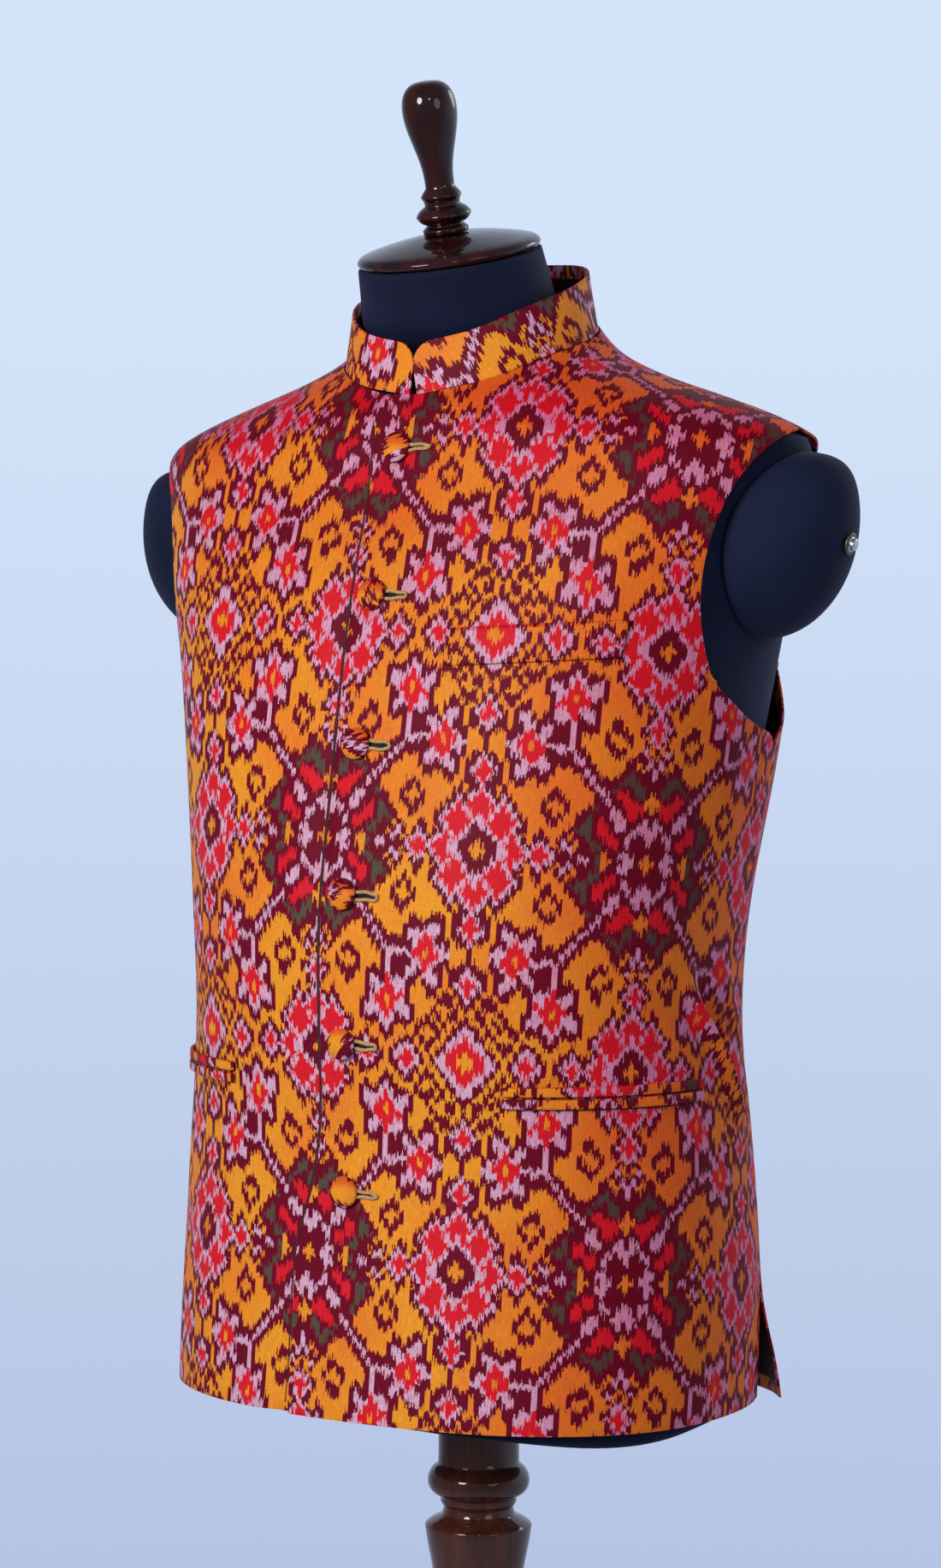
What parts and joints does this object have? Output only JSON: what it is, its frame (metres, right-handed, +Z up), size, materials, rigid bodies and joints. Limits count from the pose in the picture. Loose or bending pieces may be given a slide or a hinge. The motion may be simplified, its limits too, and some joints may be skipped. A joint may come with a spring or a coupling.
{
  "type": "nehru jacket on a dress form",
  "caption": "Sleeveless band-collar jacket in an ikat silk, buttoned down the front, on a limbless dress form with a turned wooden cap, pole and round base.",
  "frame": {"origin": "centre of the round base's underside, on the counter, below the pole", "axes": "+Z up; -Y is the way the jacket faces; +X is the wearer's left"},
  "size_m": [0.552, 0.3351, 1.2621],
  "materials": {
    "ikat_silk": "soft sheen, woven ikat in orange, maroon, red, white and olive",
    "jersey": "matt knit",
    "bolt_steel": "dull bright",
    "mahogany": "gloss lacquer",
    "lacquered_wood": "gloss lacquer"
  },
  "bodies": {
    "root": {"front_left": "ikat_silk", "front_right": "ikat_silk", "back": "ikat_silk", "collar": "ikat_silk", "breast_welt": "ikat_silk", "pocket_left_upper_welt": "ikat_silk", "pocket_left_lower_welt": "ikat_silk", "pocket_right_upper_welt": "ikat_silk", "pocket_right_lower_welt": "ikat_silk", "button_1": "ikat_silk", "button_2": "ikat_silk", "button_3": "ikat_silk", "button_4": "ikat_silk", "button_5": "ikat_silk", "button_6": "ikat_silk", "form_torso": "jersey", "form_arm_left": "jersey", "form_arm_right": "jersey", "arm_bolt_left": "bolt_steel", "arm_bolt_right": "bolt_steel", "neck_cap": "mahogany", "finial": "mahogany", "pole": "lacquered_wood", "base": "lacquered_wood"}
  },
  "joints": []
}
